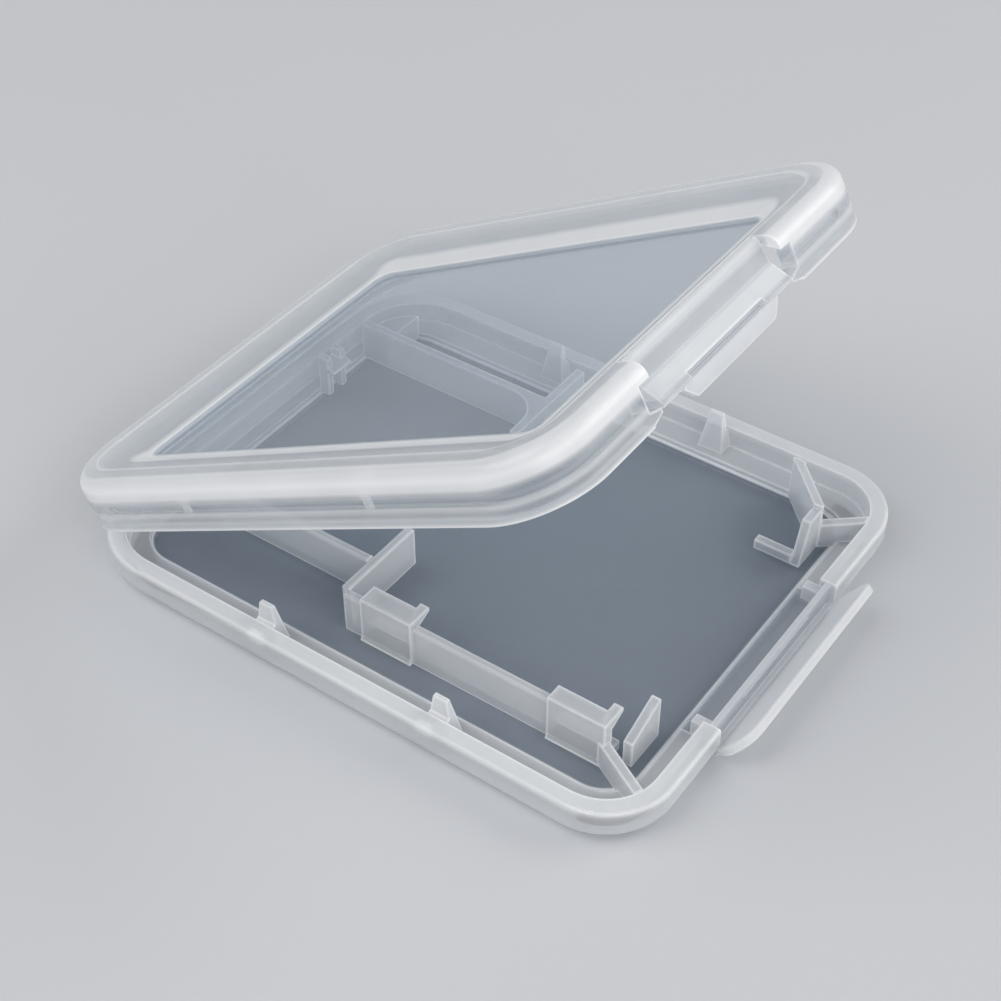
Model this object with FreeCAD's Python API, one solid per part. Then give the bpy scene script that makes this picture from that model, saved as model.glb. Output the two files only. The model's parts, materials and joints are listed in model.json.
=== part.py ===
import FreeCAD, Part
import math
import os

# Memory card case: a shallow base tray with a card bay and a hinged lid, shown part open.
# Millimetres. X runs from the hinge to the latch, Y along the hinge, Z up.
# The origin is the centre of the flat underside of the base.
# Plan sizes below are set out as u (from the hinge edge) and v (from the near edge).

Vec = FreeCAD.Vector

# Card that the bay holds, and the room round it
card_width = 24.0
card_length = 32.0
card_thickness = 2.1
card_corner_cut = 4.1
card_play = 0.6
card_rest_height = 0.9
card_rest_reach = 1.2

# Margins from the card bay to the outside of the case
hinge_margin = 23.5
latch_margin = 5.3
near_margin = 7.3
far_margin = 4.0

# Base tray
base_height = 3.2
wall = 1.5
hinge_border = 2.8
latch_border = 3.3
side_border = 3.8
border_height = 1.2
floor_hinge_radius = 4.0
floor_latch_radius = 3.0
floor_thickness = 0.8
panel_taper = 0.1
hinge_corner_radius = 7.2
latch_corner_radius = 6.0
base_edge_radius = 1.6
rim_edge_radius = 0.25

# Card bay walls
bay_wall = 0.8
bay_wall_height = 3.8
clip_height = 4.3
clip_proud = 0.15
clip_foot = 0.2
clip_lip_edge = 0.35
clip_nib_reach = 1.5
clip_nib_length = 0.8
rear_clip_start = 1.7
rear_clip_length = 4.9
rear_clip_reach = 0.9
front_clip_setback = 0.9
front_clip_length = 5.1
front_clip_reach = 0.6
clip_grip_gap = 0.3
hook_length = 8.3
wall_edge_radius = 0.2

# Rear bay, between the hinge and the step in the card bay
rear_bay_near = 3.2
rear_bay_inset = 5.6
rear_bay_hook = 4.7
rear_bay_corner_radius = 3.0

# End stops at the latch side of the card bay
stop_height = 4.0
near_stop_start = 0.2
near_stop_length = 3.8
near_stop_fall = 1.6
far_stop_length = 3.2
far_stop_lean = 1.3
key_height = 4.3
rest_length = 3.4
near_brace_reach = 4.2
far_brace_rise = 2.6
rear_brace_width = 2.4

# Small clip on the hinge side of the rear bay
rear_post_inset = 5.1
rear_post_thickness = 0.6
rear_post_spacing = 1.8
rear_post_depth = 1.1
rear_post_height = 4.0
rear_nib_reach = 0.8
rear_nib_low = 2.4
rear_nib_height = 0.7

# Fins that guide the lid's side walls
rear_fin_setback = 4.05
front_fin_setback = 12.5
fin_foot_length = 2.4
fin_foot_depth = 1.5
fin_top_length = 1.2
fin_top_depth = 0.4
fin_rise = 1.65
lid_side_clearance = 0.4

# Latch, on the front wall
latch_offset = -0.6
latch_width = 18.2
keeper_thickness = 0.45
keeper_setback = 0.5
keeper_bead = 0.12
keeper_bead_height = 0.4
snap_clearance = 0.08
tab_reach = 2.7
tab_rise = 2.9
tab_thickness = 0.8
tab_flare = 1.9
tab_near_radius = 2.2
tab_far_radius = 0.6
tab_edge_radius = 0.2
tab_root_height = 0.3
tab_foot_height = 1.5
latch_block_width = 0.9
latch_block_depth = 1.6
latch_block_height = 1.3

# Lid
lid_height = 4.4
lid_edge_radius = 1.1
lid_top_thickness = 0.8
lid_crest_inset = 2.3
lid_window_thickness = 0.7
lid_window_sink = 1.5
lid_window_hinge_border = 5.15
lid_window_latch_border = 5.5
lid_window_side_border = 6.5
lid_window_radius = 1.5
lid_rebate_depth = 0.5
lid_rebate_height = 0.85
rear_rib_setback = 7.7
front_rib_setback = 12.4
lid_rib_width = 0.8
lid_rib_foot = 0.25
lid_rib_depth = 1.0
lid_rib_start = 1.85
lid_rib_height = 1.5

# Latch tongue, hung in a scoop in the lid's front wall
tongue_width = 17.4
scoop_inset = 2.0
tongue_root_radius = 0.4
tongue_clearance = 0.08
tongue_end_gap = 0.12
tongue_thickness = 0.7
tongue_knee_inset = 1.2
tongue_knee_height = 2.35
tongue_tip_reach = 0.15
tongue_tip_height = 0.9
tongue_edge = 0.25
tongue_groove = 0.45
tongue_groove_inset = 0.65
notch_width = 1.4
notch_top = 3.1
notch_root = 3.9
lip_width = 12.6
lip_top = 0.8
lip_drop = 0.5
lip_thickness = 0.5
lip_corner = 1.0
lip_end_margin = 1.2
web_gap = 0.15
web_low = 0.1
web_high = 1.1
web_tip_low = 0.45
web_tip_high = 0.8

# Living hinge
hinge_length = 26.0
hinge_bead_radius = 0.3
hinge_offset = 0.35
hinge_leaf_height = 0.3
hinge_clearance = 0.05
parting_gap = 0.12
open_angle = 28.8

# Overall sizes that follow from the card and the margins
bay_width = card_width + 2 * card_play
bay_length = card_length + 2 * card_play
case_length = hinge_margin + bay_width + latch_margin
case_width = near_margin + bay_length + far_margin
bay_start = hinge_margin
bay_end = hinge_margin + bay_width
bay_near = near_margin
bay_far = near_margin + bay_length
rear_bay_far = bay_far - rear_bay_inset
rear_post_centre = rear_bay_far - rear_post_inset
latch_centre = case_width / 2 + latch_offset
latch_near = latch_centre - latch_width / 2
latch_far = latch_centre + latch_width / 2
lid_base = base_height + parting_gap
hinge_axis_u = -hinge_offset
hinge_axis_z = base_height + parting_gap / 2
bay_wall_top = floor_thickness + bay_wall_height
clip_top = floor_thickness + clip_height
card_bed = floor_thickness + card_rest_height
card_top = card_bed + card_thickness
tongue_near = latch_centre - tongue_width / 2
tongue_far = latch_centre + tongue_width / 2
lid_panel_top = lid_height - lid_window_sink


def point(u, v, z):
    """A point given from the hinge edge and the near edge."""
    return Vec(u - case_length / 2, v - case_width / 2, z)


def block(u0, u1, v0, v1, z0, z1):
    """A box between two plan corners and two heights."""
    return Part.makeBox(u1 - u0, v1 - v0, z1 - z0, point(u0, v0, z0))


def plan_solid(corners, z0, z1):
    """A straight-sided plan outline raised from z0 to z1."""
    wire = Part.makePolygon([point(u, v, z0) for u, v in corners + corners[:1]])
    return Part.Face(wire).extrude(Vec(0, 0, z1 - z0))


def side_solid(profile, v0, v1):
    """A profile in u and z, carried along v."""
    wire = Part.makePolygon([point(u, v0, z) for u, z in profile + profile[:1]])
    return Part.Face(wire).extrude(Vec(0, v1 - v0, 0))


def end_solid(profile, u0, u1):
    """A profile in v and z, carried along u."""
    wire = Part.makePolygon([point(u0, v, z) for v, z in profile + profile[:1]])
    return Part.Face(wire).extrude(Vec(u1 - u0, 0, 0))


def strip(start, end, thickness, z0, z1):
    """A straight wall between two plan points."""
    along = Vec(end[0] - start[0], end[1] - start[1], 0)
    half_u = -along.y / along.Length * thickness / 2
    half_v = along.x / along.Length * thickness / 2
    return plan_solid([(start[0] + half_u, start[1] + half_v), (start[0] - half_u, start[1] - half_v),
                       (end[0] - half_u, end[1] - half_v), (end[0] + half_u, end[1] + half_v)], z0, z1)


def rounded_wire(u0, u1, v0, v1, hinge_radius, latch_radius, z):
    """A rectangle with one corner radius at the hinge end and one at the latch end."""
    corners = (
        (u0, v0, hinge_radius, 180),
        (u1, v0, latch_radius, 270),
        (u1, v1, latch_radius, 0),
        (u0, v1, hinge_radius, 90),
    )
    arcs = []
    for u, v, radius, start in corners:
        centre_u = u + radius if u == u0 else u - radius
        centre_v = v + radius if v == v0 else v - radius
        arcs.append(Part.Edge(Part.Circle(point(centre_u, centre_v, z), Vec(0, 0, 1), radius),
                              math.radians(start), math.radians(start + 90)))
    edges = []
    for arc, following in zip(arcs, arcs[1:] + arcs[:1]):
        edges.append(arc)
        edges.append(Part.makeLine(arc.Vertexes[-1].Point, following.Vertexes[0].Point))
    return Part.Wire(edges)


def raised(wire, height):
    return Part.Face(wire).extrude(Vec(0, 0, height))


def tapered(low_wire, high_wire):
    """A solid with straight sides between two outlines of the same make."""
    return Part.makeLoft([low_wire, high_wire], True, True)


def case_wire(inset, z):
    """The case outline, drawn in evenly by the inset."""
    return rounded_wire(inset, case_length - inset, inset, case_width - inset,
                        hinge_corner_radius - inset, latch_corner_radius - inset, z)


def case_plan(inset, z0, z1):
    return raised(case_wire(inset, z0), z1 - z0)


def floor_wire(inset, z):
    """The opening inside the floor border."""
    return rounded_wire(hinge_border + inset, case_length - latch_border - inset,
                        side_border + inset, case_width - side_border - inset,
                        floor_hinge_radius - inset, floor_latch_radius - inset, z)


def floor_plan(z0, z1):
    return raised(floor_wire(0, z0), z1 - z0)


def edges_at(shape, z):
    """Edges that lie wholly at one height."""
    return [e for e in shape.Edges if all(abs(p.Point.z - z) < 1e-6 for p in e.Vertexes)]


def round_top(shape, z, radius):
    """Rounds every edge at the given height."""
    return shape.makeFillet(radius, edges_at(shape, z))


def base_shell():
    outer = case_plan(0, 0, base_height)
    outer = round_top(outer, 0, base_edge_radius)
    outer = round_top(outer, base_height, rim_edge_radius)
    shell = outer.cut(case_plan(wall, border_height, base_height))
    shell = shell.cut(floor_plan(0, border_height))
    latch_bay = block(case_length - latch_border, case_length, latch_near, latch_far, 0, base_height)
    return shell.cut(latch_bay)


def base_floor():
    """The floor panel, which meets the border along its top edge."""
    return tapered(floor_wire(panel_taper, 0), floor_wire(0, floor_thickness))


def latch_keeper():
    """A clear strip of border with a thin wall along it, beaded for the lid's snap lip."""
    face = case_length - keeper_setback
    sill = block(case_length - latch_border, face, latch_near, latch_far, 0, border_height)
    body = block(face - keeper_thickness, face, latch_near, latch_far, border_height, base_height)
    bead_low = base_height - 2 * keeper_bead - keeper_bead_height
    bead = side_solid([(face, bead_low), (face + keeper_bead, bead_low + keeper_bead_height / 2),
                       (face, bead_low + keeper_bead_height)],
                      latch_centre - lip_width / 2 + lip_end_margin,
                      latch_centre + lip_width / 2 - lip_end_margin)
    return sill.fuse(body).fuse(bead).removeSplitter()


def thumb_tab():
    """A plate that slopes up and out from the front, flared at both ends, with a foot below the keeper."""
    slope = math.hypot(tab_reach, tab_rise)
    outline = [Vec(0, 0, 0), Vec(slope, -tab_flare, 0), Vec(slope, latch_width + tab_flare, 0),
               Vec(0, latch_width, 0), Vec(0, 0, 0)]
    plate = Part.Face(Part.makePolygon(outline)).extrude(Vec(0, 0, tab_thickness))
    for tip, radius in ((-tab_flare, tab_near_radius), (latch_width + tab_flare, tab_far_radius)):
        corner = [e for e in plate.Edges
                  if all(abs(p.Point.x - slope) < 1e-6 and abs(p.Point.y - tip) < 1e-6 for p in e.Vertexes)]
        plate = plate.makeFillet(radius, corner)
    faces = edges_at(plate, 0) + edges_at(plate, tab_thickness)
    rims = [e for e in faces if e.BoundBox.XMax > tab_edge_radius]
    plate = plate.makeFillet(tab_edge_radius, rims)
    plate.rotate(Vec(0, 0, 0), Vec(0, 1, 0), -math.degrees(math.atan2(tab_rise, tab_reach)))
    plate.translate(point(case_length, latch_near, tab_root_height))
    face, front = case_length - keeper_setback, case_length
    foot = side_solid([(face, 0), (front - tab_root_height, 0), (front, tab_root_height),
                       (front, tab_foot_height), (face, tab_foot_height)], latch_near, latch_far)
    outside = block(case_length, case_length + 2 * tab_reach, latch_near - 2 * tab_flare,
                    latch_far + 2 * tab_flare, 0, 2 * base_height)
    return plate.common(outside).fuse(foot).removeSplitter()


def latch_end_blocks():
    """Small blocks behind the keeper, one at each end of the latch."""
    front = case_length - keeper_setback - keeper_thickness
    blocks = []
    for start in (latch_near, latch_far - latch_block_width):
        blocks.append(block(front - latch_block_depth, front, start, start + latch_block_width,
                            border_height, border_height + latch_block_height))
    return Part.makeCompound(blocks)


def side_wall():
    start = bay_start + rear_clip_start + rear_clip_length
    end = bay_end - front_clip_setback - front_clip_length
    wall_body = block(start, end, bay_near - bay_wall, bay_near, floor_thickness, bay_wall_top)
    return round_top(wall_body, bay_wall_top, wall_edge_radius)


def card_clip(start, end, reach):
    """A bay wall panel with a ledge under the card, a lip over its edge and a nib at the lip's end."""
    outer = bay_near - bay_wall - clip_proud
    panel = end_solid([(outer, floor_thickness), (outer - clip_foot, floor_thickness),
                       (outer, floor_thickness + 2 * clip_foot), (outer, clip_top),
                       (bay_near, clip_top), (bay_near, card_bed),
                       (bay_near + card_rest_reach, card_bed),
                       (bay_near + card_rest_reach, floor_thickness)], start, end)
    under = card_top + clip_grip_gap
    lip = end_solid([(bay_near, under), (bay_near + reach, clip_top - clip_lip_edge),
                     (bay_near + reach, clip_top), (bay_near, clip_top)], start, end)
    nib = end_solid([(bay_near, under), (bay_near + clip_nib_reach, clip_top - clip_lip_edge),
                     (bay_near + clip_nib_reach, clip_top), (bay_near, clip_top)],
                    end - clip_nib_length, end)
    return panel.fuse(lip).fuse(nib).removeSplitter()


def rear_card_clip():
    start = bay_start + rear_clip_start
    return card_clip(start, start + rear_clip_length, rear_clip_reach)


def front_card_clip():
    end = bay_end - front_clip_setback
    return card_clip(end - front_clip_length, end, front_clip_reach)


def near_step_wall():
    """The bay's corner: a short run beside the rear clip and a wall across to its hooked end."""
    outer = bay_near - bay_wall
    back = bay_start - bay_wall
    corner = bay_wall
    plan = [(back, outer + corner), (back + corner, outer), (bay_start + rear_clip_start, outer),
            (bay_start + rear_clip_start, bay_near), (bay_start, bay_near),
            (bay_start, bay_near + hook_length), (back, bay_near + hook_length)]
    return round_top(plan_solid(plan, floor_thickness, bay_wall_top), bay_wall_top, wall_edge_radius)


def near_rear_wall():
    near = bay_near + rear_bay_near
    body = block(hinge_border, bay_start - bay_wall, near, near + bay_wall, floor_thickness, bay_wall_top)
    return round_top(body, bay_wall_top, wall_edge_radius)


def far_rear_wall():
    """The rear bay's far wall, turning in a round corner into the hooked step wall."""
    inner, outer = rear_bay_far, rear_bay_far + bay_wall
    back = bay_start - bay_wall
    run = block(hinge_border, bay_start, inner, outer, floor_thickness, bay_wall_top)
    step = block(back, bay_start, inner - rear_bay_hook, case_width - side_border,
                 floor_thickness, bay_wall_top)
    radius = rear_bay_corner_radius
    fill = block(back - radius, back, inner - radius, inner, floor_thickness, bay_wall_top)
    centre = point(back - radius, inner - radius, floor_thickness)
    fillet = fill.cut(Part.makeCylinder(radius, bay_wall_height, centre))
    return run.fuse(step).fuse(fillet).removeSplitter()


def corner_key():
    """The slanted wall that matches the card's cut corner."""
    cut = card_corner_cut
    foot_u, foot_v = bay_end - cut, bay_far
    end_v = bay_far - cut
    side = bay_wall * math.sqrt(2)
    plan = [(foot_u, foot_v), (bay_end, end_v), (bay_end + bay_wall, end_v),
            (bay_end + bay_wall, end_v + side - bay_wall), (foot_u + side, foot_v)]
    top = floor_thickness + key_height
    body = plan_solid(plan, floor_thickness, top)
    foot = block(foot_u, foot_u + side, foot_v, case_width - side_border, floor_thickness, top)
    return body.fuse(foot).removeSplitter()


def near_end_stop():
    start = bay_near + near_stop_start
    end = start + near_stop_length
    top = floor_thickness + stop_height
    profile = [(start, floor_thickness), (end, floor_thickness), (end, top), (start, top - near_stop_fall)]
    return end_solid(profile, bay_end, bay_end + bay_wall)


def far_end_stop():
    """An end plate with a low rib along its foot, which the card rests on."""
    end = bay_far - card_corner_cut
    start = end - far_stop_length
    top = floor_thickness + stop_height
    profile = [(start, floor_thickness), (end, floor_thickness), (end, top), (start + far_stop_lean, top)]
    plate = end_solid(profile, bay_end, bay_end + bay_wall)
    rest = block(bay_end - rest_length, bay_end, start, start + bay_wall, floor_thickness, card_bed)
    return plate.fuse(rest).removeSplitter()


def near_corner_brace(shell, clip):
    """Runs from the front clip's end across the border to the near front corner of the wall."""
    start = (bay_end - front_clip_setback - bay_wall, bay_near - bay_wall / 2)
    end = (case_length, near_margin - near_brace_reach)
    run = strip(start, end, bay_wall, floor_thickness, base_height)
    return run.common(case_plan(wall, floor_thickness, base_height)).cut(shell).cut(clip)


def far_corner_brace(shell, stop, key):
    """Runs from the end stop across the border to the front wall."""
    start_u = bay_end + bay_wall / 2
    start_v = bay_far - card_corner_cut
    run = strip((start_u, start_v), (case_length, start_v + far_brace_rise + wall), bay_wall,
                floor_thickness, base_height)
    return run.common(case_plan(wall, floor_thickness, base_height)).cut(shell).cut(stop).cut(key)


def rear_corner_brace():
    """A web between the rear bay's far wall and the border at the hinge corner."""
    web = block(hinge_border, hinge_border + rear_brace_width,
                rear_bay_far + bay_wall, case_width - side_border, floor_thickness, base_height)
    return web.common(floor_plan(floor_thickness, base_height))


def rear_post_clip():
    """Two thin posts on the hinge border, joined low down, with a nib over the card's edge."""
    near = rear_post_centre - rear_post_spacing / 2
    far = rear_post_centre + rear_post_spacing / 2
    half = rear_post_thickness / 2
    top = floor_thickness + rear_post_height
    front = hinge_border + rear_post_depth
    posts = [block(hinge_border, front, v - half, v + half, floor_thickness, top) for v in (near, far)]
    nib_low = floor_thickness + rear_nib_low
    nib_top = nib_low + rear_nib_height
    nib = side_solid([(hinge_border, nib_low), (front, nib_low),
                      (front + rear_nib_reach, (nib_low + nib_top) / 2), (front, nib_top),
                      (hinge_border, nib_top)], near - half, far + half)
    return posts[0].fuse(posts[1]).fuse(nib).removeSplitter()


def guide_fins():
    """Four fins inside the side walls, which stand above the rim and centre the lid."""
    top = base_height + fin_rise
    face = wall + lid_side_clearance
    profile = [(wall, border_height), (wall + fin_foot_depth, border_height), (face + fin_top_depth, top),
               (face, top), (face, base_height), (wall, base_height - rim_edge_radius)]
    fins = []
    for u in (bay_start - rear_fin_setback, bay_end - front_fin_setback):
        slab = end_solid(profile, u - fin_foot_length / 2, u + fin_foot_length / 2)
        half_foot, half_top = fin_foot_length / 2, fin_top_length / 2
        gable = side_solid([(u - half_foot, border_height), (u + half_foot, border_height),
                            (u + half_top, top), (u - half_top, top)], wall, wall + fin_foot_depth)
        fin = slab.common(gable)
        fins.append(fin)
        fins.append(fin.mirror(Vec(0, 0, 0), Vec(0, 1, 0)))
    return Part.makeCompound(fins)


def lid_plan(inset, z0, z1):
    return case_plan(inset, lid_base + z0, lid_base + z1)


def lid_crease(inset, z):
    """The outline where the lid's sloped frame meets its flat panel."""
    return rounded_wire(lid_window_hinge_border + inset, case_length - lid_window_latch_border - inset,
                        lid_window_side_border + inset, case_width - lid_window_side_border - inset,
                        lid_window_radius - inset, lid_window_radius - inset, lid_base + z)


def lid_dish(drop):
    """The room above the lid's sloped frame, from the crease up to the crest, lowered by the drop."""
    return tapered(lid_crease(0, lid_panel_top - drop),
                   case_wire(lid_crest_inset, lid_base + lid_height - drop))


def tongue_axis():
    """Where the tongue bends: a line along the latch, just under the lid's crest."""
    return case_length - scoop_inset + tongue_root_radius / 2, lid_base + lid_height - tongue_root_radius


def tongue_seat():
    """The scoop in the lid's front, with a round socket for the tongue's root and notches beside it."""
    axis_u, axis_z = tongue_axis()
    near, far = tongue_near - tongue_end_gap, tongue_far + tongue_end_gap
    scoop = block(case_length - scoop_inset, case_length, near, far, lid_base, lid_base + lid_height)
    socket = Part.makeCylinder(tongue_root_radius + tongue_clearance, far - near,
                               point(axis_u, near, axis_z), Vec(0, 1, 0))
    notches = side_solid([(case_length - scoop_inset, lid_base), (case_length, lid_base),
                          (case_length, lid_base + notch_top),
                          (case_length - scoop_inset, lid_base + notch_root)],
                         tongue_near - notch_width, tongue_far + notch_width)
    return scoop.fuse([socket, notches])


def notch_webs():
    """Small webs that close each notch from below, just short of the tongue."""
    webs = []
    for side in (-1, 1):
        inner_v = latch_centre + side * (tongue_width / 2 + web_gap)
        outer_v = latch_centre + side * (tongue_width / 2 + notch_width)
        profile = [(inner_v, lid_base + web_tip_low), (outer_v, lid_base + web_low),
                   (outer_v, lid_base + web_high), (inner_v, lid_base + web_tip_high)]
        webs.append(end_solid(profile, case_length - wall, case_length))
    return webs


def lid_frame():
    outer = round_top(lid_plan(0, 0, lid_height), lid_base + lid_height, lid_edge_radius)
    room = lid_plan(wall, 0, lid_height - lid_top_thickness).cut(lid_dish(lid_top_thickness))
    frame = outer.cut(room).cut(lid_dish(0))
    frame = frame.cut(raised(lid_crease(0, lid_panel_top - lid_top_thickness), lid_top_thickness))
    frame = frame.cut(lid_plan(wall - lid_rebate_depth, 0, lid_rebate_height))
    frame = frame.cut(tongue_seat())
    for web in notch_webs():
        frame = frame.fuse(web)
    return frame.removeSplitter()


def lid_window():
    """The flat panel, which meets the frame along its top edge."""
    return tapered(lid_crease(panel_taper, lid_panel_top - lid_window_thickness),
                   lid_crease(0, lid_panel_top))


def lid_side_ribs():
    """Four gussets in the corner between the side walls and the top."""
    low, high = lid_base + lid_rib_start, lid_base + lid_rib_start + lid_rib_height
    profile = [(wall, low), (wall + lid_rib_foot, low), (wall + lid_rib_depth, high), (wall, high)]
    ribs = []
    for u in (bay_start - rear_rib_setback, bay_end - front_rib_setback):
        rib = end_solid(profile, u - lid_rib_width / 2, u + lid_rib_width / 2)
        ribs.append(rib)
        ribs.append(rib.mirror(Vec(0, 0, 0), Vec(0, 1, 0)))
    return Part.makeCompound(ribs)


def latch_tongue():
    """A panel that hangs from its round root and flares out to a tip, grooved above the lip."""
    axis_u, axis_z = tongue_axis()
    neck = axis_u + tongue_root_radius
    knee, knee_z = case_length - tongue_knee_inset, lid_base + tongue_knee_height
    tip, tip_z = case_length + tongue_tip_reach, lid_base + tongue_tip_height
    low = tip_z - tongue_edge
    inner = knee - tongue_thickness
    panel = side_solid([(neck, axis_z), (knee, knee_z), (tip, tip_z), (tip - tongue_edge / 2, low),
                        (tip - tongue_thickness - tongue_edge, low), (inner, knee_z - tongue_edge),
                        (inner, axis_z)], tongue_near, tongue_far)
    root = Part.makeCylinder(tongue_root_radius, tongue_width,
                             point(axis_u, tongue_near, axis_z), Vec(0, 1, 0))
    lip_u = lip_inner_u()
    near, far = latch_centre - lip_width / 2, latch_centre + lip_width / 2
    lip_room = block(lip_u, lip_u + 2 * lip_thickness, near, far, low, lid_base + lip_top)
    groove = block(case_length - tongue_groove_inset, tip,
                   near + lip_end_margin, far - lip_end_margin,
                   lid_base + lip_top, lid_base + lip_top + tongue_groove)
    return panel.fuse(root).removeSplitter().cut(lip_room).cut(groove)


def lip_inner_u():
    return case_length - keeper_setback + keeper_bead + snap_clearance


def latch_lip():
    """The narrow snap lip on the tongue, grooved inside where it rides past the keeper's bead."""
    inner = lip_inner_u()
    near, far = latch_centre - lip_width / 2, latch_centre + lip_width / 2
    top, low = lid_base + lip_top, lid_base - lip_drop
    profile = [(near, top), (near, low + lip_corner), (near + lip_corner, low), (far - lip_corner, low),
               (far, low + lip_corner), (far, top)]
    lip = end_solid(profile, inner, inner + lip_thickness)
    groove = block(inner, inner + keeper_bead, near + lip_end_margin, far - lip_end_margin,
                   lid_base - lip_drop / 2, lid_base + lip_drop)
    return lip.cut(groove)


def hinge_leaf(z0, z1):
    near = (case_width - hinge_length) / 2
    return block(hinge_axis_u, 0, near, near + hinge_length, z0, z1)


def hinge_bead(radius):
    near = (case_width - hinge_length) / 2
    return Part.makeCylinder(radius, hinge_length, point(hinge_axis_u, near, hinge_axis_z), Vec(0, 1, 0))


def base_hinge_leaf():
    """The base half of the living hinge, with the round bead that the hinge bends about."""
    leaf = hinge_leaf(base_height - hinge_leaf_height, base_height)
    return leaf.fuse(hinge_bead(hinge_bead_radius)).removeSplitter()


def lid_hinge_leaf():
    leaf = hinge_leaf(lid_base, lid_base + hinge_leaf_height)
    return leaf.cut(hinge_bead(hinge_bead_radius + hinge_clearance))


def opened(shape):
    """Turns a lid piece about the hinge to the angle at which the case is shown."""
    turned = shape.copy()
    turned.rotate(point(hinge_axis_u, case_width / 2, hinge_axis_z), Vec(0, -1, 0), open_angle)
    return turned


shell = base_shell()
front_clip = front_card_clip()
end_stop = far_end_stop()
key = corner_key()

base_pieces = {
    "base_shell": shell,
    "base_floor": base_floor(),
    "latch_keeper": latch_keeper(),
    "thumb_tab": thumb_tab(),
    "latch_end_blocks": latch_end_blocks(),
    "side_wall": side_wall(),
    "rear_card_clip": rear_card_clip(),
    "front_card_clip": front_clip,
    "near_step_wall": near_step_wall(),
    "near_rear_wall": near_rear_wall(),
    "far_rear_wall": far_rear_wall(),
    "corner_key": key,
    "near_end_stop": near_end_stop(),
    "far_end_stop": end_stop,
    "near_corner_brace": near_corner_brace(shell, front_clip),
    "far_corner_brace": far_corner_brace(shell, end_stop, key),
    "rear_corner_brace": rear_corner_brace(),
    "rear_post_clip": rear_post_clip(),
    "guide_fins": guide_fins(),
    "base_hinge_leaf": base_hinge_leaf(),
}

lid_pieces = {
    "lid_frame": lid_frame(),
    "lid_window": lid_window(),
    "lid_side_ribs": lid_side_ribs(),
    "latch_tongue": latch_tongue(),
    "latch_lip": latch_lip(),
    "lid_hinge_leaf": lid_hinge_leaf(),
}

os.makedirs("parts", exist_ok=True)
for name, shape in base_pieces.items():
    shape.exportStep(f"parts/{name}.step")
for name, shape in lid_pieces.items():
    opened(shape).exportStep(f"parts/{name}.step")
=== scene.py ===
import json
import math
from collections import namedtuple

import bpy
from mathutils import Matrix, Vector


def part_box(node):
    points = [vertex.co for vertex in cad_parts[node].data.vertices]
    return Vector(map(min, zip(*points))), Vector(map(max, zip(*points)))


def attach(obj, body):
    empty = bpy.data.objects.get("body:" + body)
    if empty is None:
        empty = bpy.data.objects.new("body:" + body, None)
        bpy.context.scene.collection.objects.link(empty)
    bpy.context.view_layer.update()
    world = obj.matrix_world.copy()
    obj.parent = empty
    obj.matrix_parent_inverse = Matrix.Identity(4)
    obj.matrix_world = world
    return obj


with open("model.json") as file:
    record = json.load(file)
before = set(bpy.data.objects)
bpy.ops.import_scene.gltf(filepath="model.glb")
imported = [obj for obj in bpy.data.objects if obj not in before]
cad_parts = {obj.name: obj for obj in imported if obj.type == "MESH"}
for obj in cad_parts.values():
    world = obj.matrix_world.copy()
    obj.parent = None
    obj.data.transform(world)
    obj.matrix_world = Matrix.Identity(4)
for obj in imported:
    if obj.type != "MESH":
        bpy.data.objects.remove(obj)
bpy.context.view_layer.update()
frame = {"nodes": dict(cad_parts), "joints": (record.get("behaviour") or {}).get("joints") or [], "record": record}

MM = 0.001
ACROSS = Vector((0, 1, 0))

# The case's plan and the lid's hinge, from the frame. The hinge's lower limit shuts the lid,
# so at rest the lid stands open by that angle.
case_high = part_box("base_shell")[1]
panel_low, panel_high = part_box("base_floor")
window_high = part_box("lid_window")[1]
hinge = next(joint for joint in frame["joints"] if joint["name"] == "lid_hinge")
HALF_LENGTH = case_high[0]
HALF_WIDTH = case_high[1]
HINGE = Vector(hinge["pos_m"])
HINGE_OFFSET = -HALF_LENGTH - HINGE.x
LID_ANGLE = math.radians(-hinge["range_deg"][0])

# The two halves of the case: where the hinge edge starts, the way along to the latch and the way up
Half = namedtuple("Half", "start along up")
lid_along = Vector((math.cos(LID_ANGLE), 0, math.sin(LID_ANGLE)))
lid_up = Vector((-math.sin(LID_ANGLE), 0, math.cos(LID_ANGLE)))
BASE = Half(Vector((-HALF_LENGTH, 0, 0)), Vector((1, 0, 0)), Vector((0, 0, 1)))
LID = Half(HINGE + HINGE_OFFSET * lid_along, lid_along, lid_up)

# Rounded outlines in plan, with their ends measured from the hinge edge
Outline = namedtuple("Outline", "hinge_end latch_end half_width corner")
CASE = Outline(0.0, 2 * HALF_LENGTH, HALF_WIDTH, corner=6.5 * MM)
PANEL = Outline(panel_low[0] + HALF_LENGTH, panel_high[0] + HALF_LENGTH, panel_high[1], corner=3.5 * MM)
WINDOW = Outline(5.15 * MM, 48.5 * MM, window_high[1], corner=1.5 * MM)

# Haze of the walls, as height in millimetres and haze. The lid's heights start at its hinge line. Some bands hold
# painted light, as noted at each.
# Base wall: the whiter bands at the foot and the rim are milky plastic with a painted highlight on these edges
BASE_WALL = [(0.0, 0.62), (0.6, 0.50), (1.1, 0.40), (2.5, 0.38), (2.9, 0.50), (3.3, 0.64)]
# Lid wall: the whiter foot and rounded shoulder are milky plastic with a painted highlight where they catch light
LID_WALL = [
    (0.0, 0.62), (0.25, 0.44), (0.45, 0.20), (0.95, 0.20), (1.30, 0.44), (1.50, 0.44),
    (1.80, 0.10), (2.25, 0.10), (2.60, 0.40), (2.90, 0.80), (3.60, 0.88), (4.30, 0.62),
]
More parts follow.
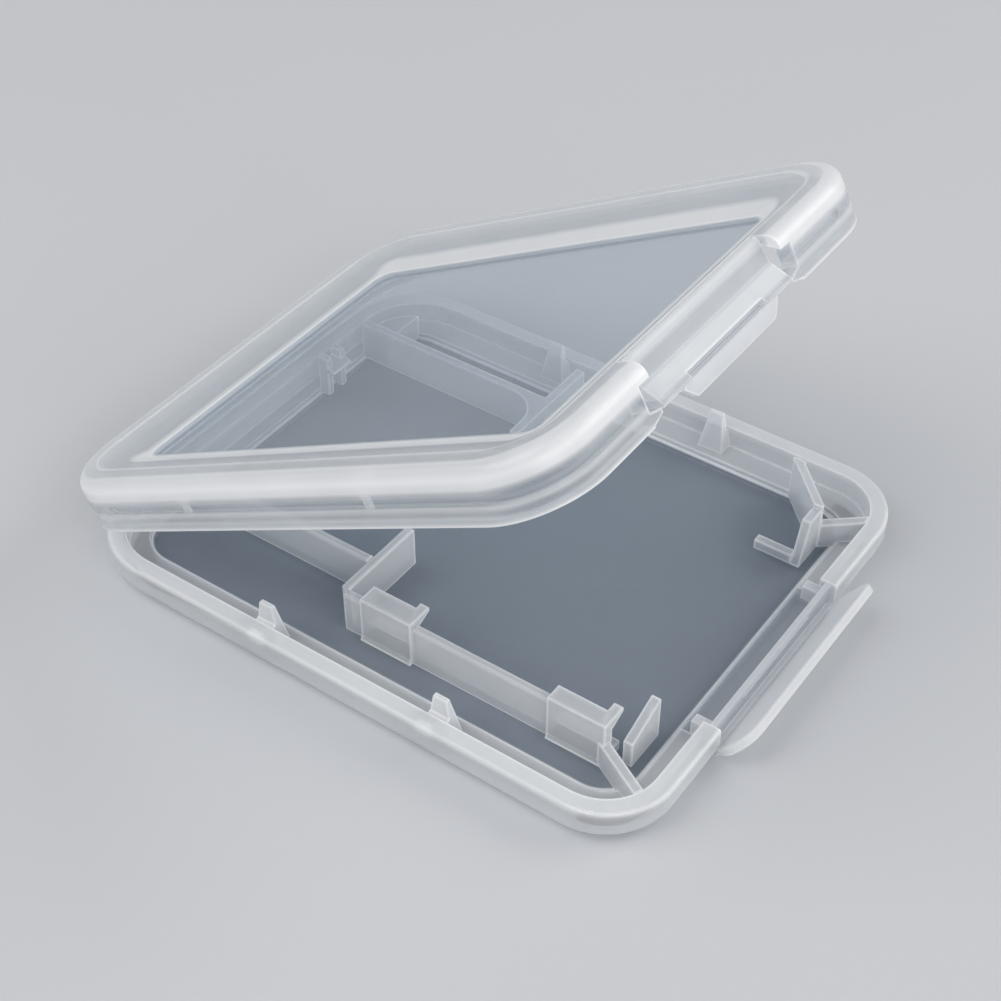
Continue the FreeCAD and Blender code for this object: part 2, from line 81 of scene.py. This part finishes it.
# Tongue: painted highlight, a whiter band on the ridge between them (1.35-2.15 mm)
# Tongue: painted shade, clearer bands under its awning (0.9-1.15 mm) and in its hollow top (2.5-3.5 mm)
TONGUE_WALL = [
    (-0.6, 0.50), (0.70, 0.56), (0.90, 0.26), (1.15, 0.26), (1.35, 0.58),
    (2.15, 0.58), (2.50, 0.24), (3.50, 0.24), (3.90, 0.50), (4.40, 0.56),
]
KEEPER_WALL = [(0.0, 0.26), (1.2, 0.28), (1.5, 0.42), (2.7, 0.42), (3.0, 0.48), (3.2, 0.58)]

# Haze of the flat parts, as distance in from an outline in millimetres and haze.
# It holds further in and higher up than the two limits, which are in millimetres too.
Top = namedtuple("Top", "outline bands from_depth from_height")
BASE_BORDER = Top(CASE, [(1.55, 0.44), (4.2, 0.44)], from_depth=1.55, from_height=0.0)
LID_BANDS = [
    (0.9, 0.62), (1.2, 0.30), (2.0, 0.28), (2.25, 0.62),
    (2.5, 0.26), (4.6, 0.22), (4.9, 0.50), (5.2, 0.70),
]
LID_BORDER = Top(CASE, LID_BANDS, from_depth=0.9, from_height=2.8)
# Painted highlight: the white strip along the clear floor panel's outline
PANEL_BANDS = [(0.0, 0.98), (0.30, 0.90), (0.45, 0.05), (2.0, 0.04)]
PANEL_TOP = Top(PANEL, PANEL_BANDS, from_depth=-1.0, from_height=0.4)
# Painted highlight: the white strip along the clear window's outline
WINDOW_BANDS = [(0.0, 0.75), (0.25, 0.55), (0.40, 0.10), (2.0, 0.10)]
WINDOW_TOP = Top(WINDOW, WINDOW_BANDS, from_depth=-1.0, from_height=2.6)

# What all the plastics share
WHITE = (0.98, 0.98, 0.98, 1)
PLASTIC_IOR = 1.49
GLOW_SHARE = 0.30
CLOUD_SCALE = 180.0
CLOUD_DETAIL = 3.0
CLOUD_MIDDLE = 0.5
GRAIN_DETAIL = 2.0
GRAIN_HEIGHT = 0.1 * MM
# Painted highlight along sharp edges: samples and strength of the mask that whitens them
EDGE_HIGHLIGHT_SAMPLES = 4
EDGE_HIGHLIGHT_GAIN = 7.0
GRAZING_BLEND = 0.35

# White moulding marks inside the side walls, where the lid's gussets and the base's fins join them:
# places along the case, width, and a section of distances in from the outside and heights, in millimetres
Mark = namedtuple("Mark", "places width section")
RIB_ROOT = Mark(
    places=(16.9, 37.3), width=0.55,
    section=[(0.34, 1.51), (0.42, 1.36), (0.66, 1.36), (0.66, 2.78), (0.42, 2.78), (0.34, 2.61)],
)
FIN_ROOT = Mark(
    places=(19.45, 35.65), width=1.2,
    section=[(0.30, 2.05), (0.40, 1.90), (0.80, 1.90), (0.80, 3.00), (0.40, 3.00), (0.30, 2.85)],
)

# Stage, in metres and watts
PALE = (0.545, 0.555, 0.575, 1)
FLOOR_DARK = (0.52, 0.53, 0.55, 1)
FLOOR_LIGHT = (0.55, 0.56, 0.58, 1)
FLOOR_SIZE = 4.0
FLOOR_CLOUD_SCALE = 15.0
FLOOR_ROUGHNESS = 0.9
FLOOR_SPECULAR = 0.2
FLOOR_FADE = [(0.07, 0.0), (0.22, 1.0)]
SKY_LIGHT = (0.97, 0.98, 1.0, 1)
SKY_STRENGTH = 0.32
Lamp = namedtuple("Lamp", "name place aim size power")
LAMPS = (
    Lamp("key", place=(-0.25, -0.25, 0.50), aim=(0, 0, 0.010), size=0.50, power=2.3),
    Lamp("rim", place=(0.30, 0.35, 0.30), aim=(0, 0, 0.015), size=0.35, power=1.2),
    Lamp("fill", place=(0.50, -0.25, 0.22), aim=(0, 0, 0.015), size=0.40, power=1.6),
)
CAMERA_LENS = 66.387
CAMERA_SENSOR = 36
CAMERA_NEAR = 0.005
CAMERA_PLACE = (0.065005, -0.091861, 0.106547)
CAMERA_TURN = (0.8349, 0, 0.6133)
CLEAR_LAYERS = 48


class Shader:
    """The nodes of a material or of the world."""

    def __init__(self, owner):
        owner.use_nodes = True
        self.owner = owner
        self.nodes = owner.node_tree.nodes
        self.links = owner.node_tree.links
        self.nodes.clear()

    def feed(self, socket, value):
        if hasattr(value, "is_output"):
            self.links.new(value, socket)
        else:
            socket.default_value = value

    def add(self, kind, **inputs):
        node = self.nodes.new("ShaderNode" + kind)
        for key, value in inputs.items():
            self.feed(node.inputs[key.replace("_", " ")], value)
        return node

    def math(self, operation, first, second=0.0, clamp=False):
        node = self.add("Math")
        node.operation = operation
        node.use_clamp = clamp
        self.feed(node.inputs[0], first)
        self.feed(node.inputs[1], second)
        return node.outputs[0]

    def dot(self, first, second):
        node = self.add("VectorMath")
        node.operation = "DOT_PRODUCT"
        self.feed(node.inputs[0], first)
        self.feed(node.inputs[1], second)
        return node.outputs["Value"]

    def ramp(self, value, stops):
        """Grey levels between stops, each given as a place from 0 to 1 and a level."""
        node = self.add("ValToRGB", Fac=value)
        elements = node.color_ramp.elements
        while len(elements) < len(stops):
            elements.new(1.0)
        for element, (place, level) in zip(elements, stops):
            element.position = place
            element.color = (level, level, level, 1)
        return node.outputs[0]

    def mix(self, factor, first, second):
        node = self.add("Mix")
        node.data_type = "RGBA"
        self.feed(node.inputs[0], factor)
        self.feed(node.inputs[6], first)
        self.feed(node.inputs[7], second)
        return node.outputs[2]

    def mix_shader(self, factor, first, second):
        node = self.add("MixShader")
        self.feed(node.inputs[0], factor)
        self.feed(node.inputs[1], first)
        self.feed(node.inputs[2], second)
        return node.outputs[0]

    def finish(self, surface, output="OutputMaterial"):
        self.add(output, Surface=surface)
        return self.owner


def height(shader, coords, half):
    """Height above the table, or above the hinge line square to the lid, in millimetres."""
    above = shader.math("SUBTRACT", shader.dot(coords, half.up), half.start.dot(half.up))
    return shader.math("DIVIDE", above, MM)


def inset(shader, coords, half, outline):
    """Distance in from a rounded outline, seen square on, in millimetres."""
    half_length = (outline.latch_end - outline.hinge_end) / 2
    middle = half.start.dot(half.along) + outline.hinge_end + half_length
    along = shader.math("SUBTRACT", shader.dot(coords, half.along), middle)
    across = shader.dot(coords, ACROSS)
    straight_along = half_length - outline.corner
    straight_across = outline.half_width - outline.corner
    past_along = shader.math("SUBTRACT", shader.math("ABSOLUTE", along), straight_along)
    past_across = shader.math("SUBTRACT", shader.math("ABSOLUTE", across), straight_across)
    round_along = shader.math("MAXIMUM", past_along, 0.0)
    round_across = shader.math("MAXIMUM", past_across, 0.0)
    squares = shader.math("ADD", shader.math("MULTIPLY", round_along, round_along),
                          shader.math("MULTIPLY", round_across, round_across))
    round_part = shader.math("SQRT", squares)
    flat_part = shader.math("MINIMUM", shader.math("MAXIMUM", past_along, past_across), 0.0)
    reach = shader.math("ADD", round_part, flat_part)
    return shader.math("DIVIDE", shader.math("SUBTRACT", outline.corner, reach), MM)


def bands(shader, measure, stops):
    """Haze along one measure, from stops given as millimetres and haze."""
    low = stops[0][0]
    span = stops[-1][0] - low
    level = shader.math("DIVIDE", shader.math("SUBTRACT", measure, low), span)
    return shader.ramp(level, [((place - low) / span, haze) for place, haze in stops])


def milkiness_and_painted_light(shader, coords, half, haze, wall, top):
    """One haze all over, or bands by height on the walls and by distance in on the flat parts, some of which hold
    painted shade and highlights.
    """
    milk_and_painted_light = haze
    if wall:
        milk_and_painted_light = bands(shader, height(shader, coords, half), wall)
    if top:
        depth = inset(shader, coords, half, top.outline)
        far_in = shader.math("GREATER_THAN", depth, top.from_depth)
        high_up = shader.math("GREATER_THAN", height(shader, coords, half), top.from_height)
        on_top = shader.math("MULTIPLY", far_in, high_up)
        elsewhere = shader.math("SUBTRACT", 1.0, on_top)
        milk_and_painted_light = shader.math("ADD", shader.math("MULTIPLY", bands(shader, depth, top.bands), on_top),
                           shader.math("MULTIPLY", milk_and_painted_light, elsewhere))
    return milk_and_painted_light


def edge_highlight_mask(shader, width):
    """Painted highlight along sharp edges: one there and zero on flat stretches."""
    bevel = shader.add("Bevel", Radius=width)
    bevel.samples = EDGE_HIGHLIGHT_SAMPLES
    flat = shader.add("NewGeometry").outputs["True Normal"]
    turn = shader.math("SUBTRACT", 1.0, shader.dot(bevel.outputs[0], flat))
    return shader.math("MULTIPLY", turn, EDGE_HIGHLIGHT_GAIN, clamp=True)


def plastic(name, colour, tint, roughness, edge_highlight_haze, edge_highlight_width, grazing, cloud, half=BASE, haze=0.0,
            wall=None, top=None, grain_scale=900.0, grain_depth=0.08):
    """Milky moulded plastic: clear where it is thin and seen square on, white where it is thick, with a painted
    highlight along sharp edges.
    """
    shader = Shader(bpy.data.materials.new(name))
    coords = shader.add("TexCoord").outputs["Object"]
    # Painted highlight along sharp edges, which makes them more solid and whiter
    edge = edge_highlight_mask(shader, edge_highlight_width)
    milk_and_painted_light = milkiness_and_painted_light(shader, coords, half, haze, wall, top)

    facing = shader.add("LayerWeight", Blend=GRAZING_BLEND).outputs["Facing"]
    clouds = shader.add("TexNoise", Vector=coords, Scale=CLOUD_SCALE, Detail=CLOUD_DETAIL).outputs["Fac"]
    mist = shader.math("MULTIPLY", shader.math("SUBTRACT", clouds, CLOUD_MIDDLE), cloud)
    solid = shader.math("ADD", shader.math("MULTIPLY", facing, grazing), milk_and_painted_light)
    solid = shader.math("ADD", solid, mist)
    solid = shader.math("ADD", solid, shader.math("MULTIPLY", edge, edge_highlight_haze), clamp=True)

    # Whiter on the painted highlight along sharp edges and where the haze bands are high, their painted light
    # included
    paint = shader.mix(shader.math("MAXIMUM", edge, milk_and_painted_light), (*colour, 1), WHITE)
    grain = shader.add("TexNoise", Vector=coords, Scale=grain_scale, Detail=GRAIN_DETAIL).outputs["Fac"]
    bump = shader.add("Bump", Height=grain, Strength=grain_depth, Distance=GRAIN_HEIGHT).outputs[0]

    body = shader.add("BsdfPrincipled", Base_Color=paint, Roughness=roughness, IOR=PLASTIC_IOR, Normal=bump)
    glow = shader.add("BsdfTranslucent", Color=paint)
    milky = shader.mix_shader(GLOW_SHARE, body.outputs[0], glow.outputs[0])
    clear = shader.add("BsdfTransparent", Color=(*tint, 1)).outputs[0]
    return shader.finish(shader.mix_shader(solid, clear, milky))


# Plastics of the walls, of the latch and marks, and of the thin clear parts
# The haze and width given for sharp edges set how solid and how wide their painted highlight is
WALLS = dict(colour=(0.90, 0.905, 0.91), tint=(0.80, 0.825, 0.85), roughness=0.28,
             edge_highlight_haze=0.70, edge_highlight_width=0.36 * MM, grazing=0.30, cloud=0.10)
LATCH = dict(tint=(0.84, 0.86, 0.885), edge_highlight_haze=0.30, edge_highlight_width=0.30 * MM, grazing=0.15, cloud=0.14)
PANES = dict(colour=(0.80, 0.84, 0.88), roughness=0.14, edge_highlight_width=0.25 * MM, grain_depth=0.03)

milky_base_painted_highlight = plastic("milky_base_painted_highlight", wall=BASE_WALL, top=BASE_BORDER, **WALLS)
milky_frame_painted_highlight = plastic("milky_frame_painted_highlight", half=LID, wall=LID_WALL, top=LID_BORDER, **WALLS)
milky_wall = plastic("milky_wall", haze=0.40, **WALLS)
milky_latch = plastic("milky_latch", colour=(0.93, 0.93, 0.93), haze=0.60, roughness=0.30, **LATCH)
milky_tongue_painted_light = plastic("milky_tongue_painted_light", colour=(0.91, 0.915, 0.92), roughness=0.32, half=LID,
                       wall=TONGUE_WALL, **LATCH)
white_rib = plastic("white_rib", colour=(0.97, 0.97, 0.97), haze=0.97, roughness=0.30, **LATCH)
white_tab = plastic("white_tab", colour=(0.93, 0.93, 0.93), haze=0.58, roughness=0.40,
                    grain_scale=2600.0, grain_depth=0.30, **LATCH)
clear_keeper = plastic("clear_keeper", colour=(0.84, 0.86, 0.88), tint=(0.84, 0.87, 0.90), roughness=0.20,
                       edge_highlight_haze=0.05, edge_highlight_width=0.16 * MM, grazing=0.10, cloud=0.06,
                       wall=KEEPER_WALL, grain_depth=0.03)
clear_floor = plastic("clear_floor", tint=(0.74, 0.77, 0.80), haze=0.04, edge_highlight_haze=0.60,
                      grazing=0.14, cloud=0.05, top=PANEL_TOP, **PANES)
clear_lid = plastic("clear_lid", tint=(0.82, 0.85, 0.88), haze=0.06, edge_highlight_haze=0.50,
                    grazing=0.20, cloud=0.06, half=LID, top=WINDOW_TOP, **PANES)

# Plastic by the record's slot, and for nodes with a plastic of their own
SLOTS = {
    "milky_wall": milky_wall,
    "milky_latch": milky_latch,
    "clear_floor": clear_floor,
    "clear_lid": clear_lid,
}
OWN = {
    "base_shell": milky_base_painted_highlight,
    "lid_frame": milky_frame_painted_highlight,
    "thumb_tab": white_tab,
    "latch_keeper": clear_keeper,
    "latch_tongue": milky_tongue_painted_light,
    "latch_lip": milky_tongue_painted_light,
    "guide_fins": milky_latch,
}


def dress(node, material):
    if not node.material_slots:
        node.data.materials.append(material)
    for slot in node.material_slots:
        slot.material = material


def roots(name, body, half, mark):
    """Short prisms of one section inside the near and the far side wall, at each place."""
    points = []
    faces = []
    count = len(mark.section)
    for place in mark.places:
        for side in (-1, 1):
            first = len(points)
            for along in (place - mark.width / 2, place + mark.width / 2):
                for depth, up in mark.section:
                    across = side * (HALF_WIDTH - depth * MM)
                    points.append(half.start + along * MM * half.along + across * ACROSS + up * MM * half.up)
            start_ring = list(range(first, first + count))
            end_ring = list(range(first + count, first + 2 * count))
            loops = [start_ring, end_ring[::-1]]
            for i in range(count):
                after = (i + 1) % count
                loops.append([start_ring[after], start_ring[i], end_ring[i], end_ring[after]])
            faces += [loop[::-side] for loop in loops]
    mesh = bpy.data.meshes.new(name)
    mesh.from_pydata(points, [], faces)
    piece = bpy.data.objects.new(name, mesh)
    bpy.context.collection.objects.link(piece)
    mesh.materials.append(white_rib)
    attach(piece, body)


def seen(shader):
    """One for what is seen directly, in gloss or through glass, and zero for light that falls on things."""
    path = shader.add("LightPath").outputs
    direct = shader.math("MAXIMUM", path["Is Camera Ray"], path["Is Glossy Ray"])
    return shader.math("MAXIMUM", direct, path["Is Transmission Ray"])


def floor():
    """A pale floor that keeps the object's shadow and goes over to the backdrop's tone further off."""
    bpy.ops.mesh.primitive_plane_add(size=FLOOR_SIZE)
    plane = bpy.context.object
    plane.name = "stage_floor"
    shader = Shader(bpy.data.materials.new("stage_pale"))
    coords = shader.add("TexCoord").outputs["Object"]
    clouds = shader.add("TexNoise", Vector=coords, Scale=FLOOR_CLOUD_SCALE).outputs["Fac"]
    paint = shader.mix(clouds, FLOOR_DARK, FLOOR_LIGHT)
    near = shader.add("BsdfPrincipled", Base_Color=paint, Roughness=FLOOR_ROUGHNESS,
                      Specular_IOR_Level=FLOOR_SPECULAR).outputs[0]
    far = shader.add("Emission", Color=PALE, Strength=1.0).outputs[0]
    distance = shader.math("SQRT", shader.dot(coords, coords))
    fade = shader.math("MULTIPLY", shader.ramp(distance, FLOOR_FADE), seen(shader))
    plane.data.materials.append(shader.finish(shader.mix_shader(fade, near, far)))


def backdrop():
    """Soft light from all round, and the pale tone where the backdrop itself is seen."""
    world = bpy.data.worlds.new("studio")
    shader = Shader(world)
    light = shader.add("Background", Color=SKY_LIGHT, Strength=SKY_STRENGTH).outputs[0]
    pale = shader.add("Background", Color=PALE, Strength=1.0).outputs[0]
    bpy.context.scene.world = shader.finish(shader.mix_shader(seen(shader), light, pale), "OutputWorld")


def area_light(lamp):
    data = bpy.data.lights.new(lamp.name, "AREA")
    data.size = lamp.size
    data.energy = lamp.power
    light = bpy.data.objects.new(lamp.name, data)
    bpy.context.collection.objects.link(light)
    light.location = lamp.place
    light.rotation_euler = (Vector(lamp.aim) - Vector(lamp.place)).to_track_quat("-Z", "Y").to_euler()


def set_camera():
    data = bpy.data.cameras.new("camera")
    data.lens = CAMERA_LENS
    data.sensor_width = CAMERA_SENSOR
    data.clip_start = CAMERA_NEAR
    camera = bpy.data.objects.new("camera", data)
    bpy.context.collection.objects.link(camera)
    camera.location = CAMERA_PLACE
    camera.rotation_euler = CAMERA_TURN
    bpy.context.scene.camera = camera


for part in frame["record"]["subparts"]:
    name = part["node"]
    dress(frame["nodes"][name], OWN.get(name, SLOTS[part["material_slot"]]))
roots("lid_rib_roots", "lid", LID, RIB_ROOT)
roots("fin_roots", "base", BASE, FIN_ROOT)

floor()
backdrop()
for lamp in LAMPS:
    area_light(lamp)
set_camera()

bpy.context.scene.view_settings.view_transform = "Standard"
bpy.context.scene.cycles.transparent_max_bounces = CLEAR_LAYERS
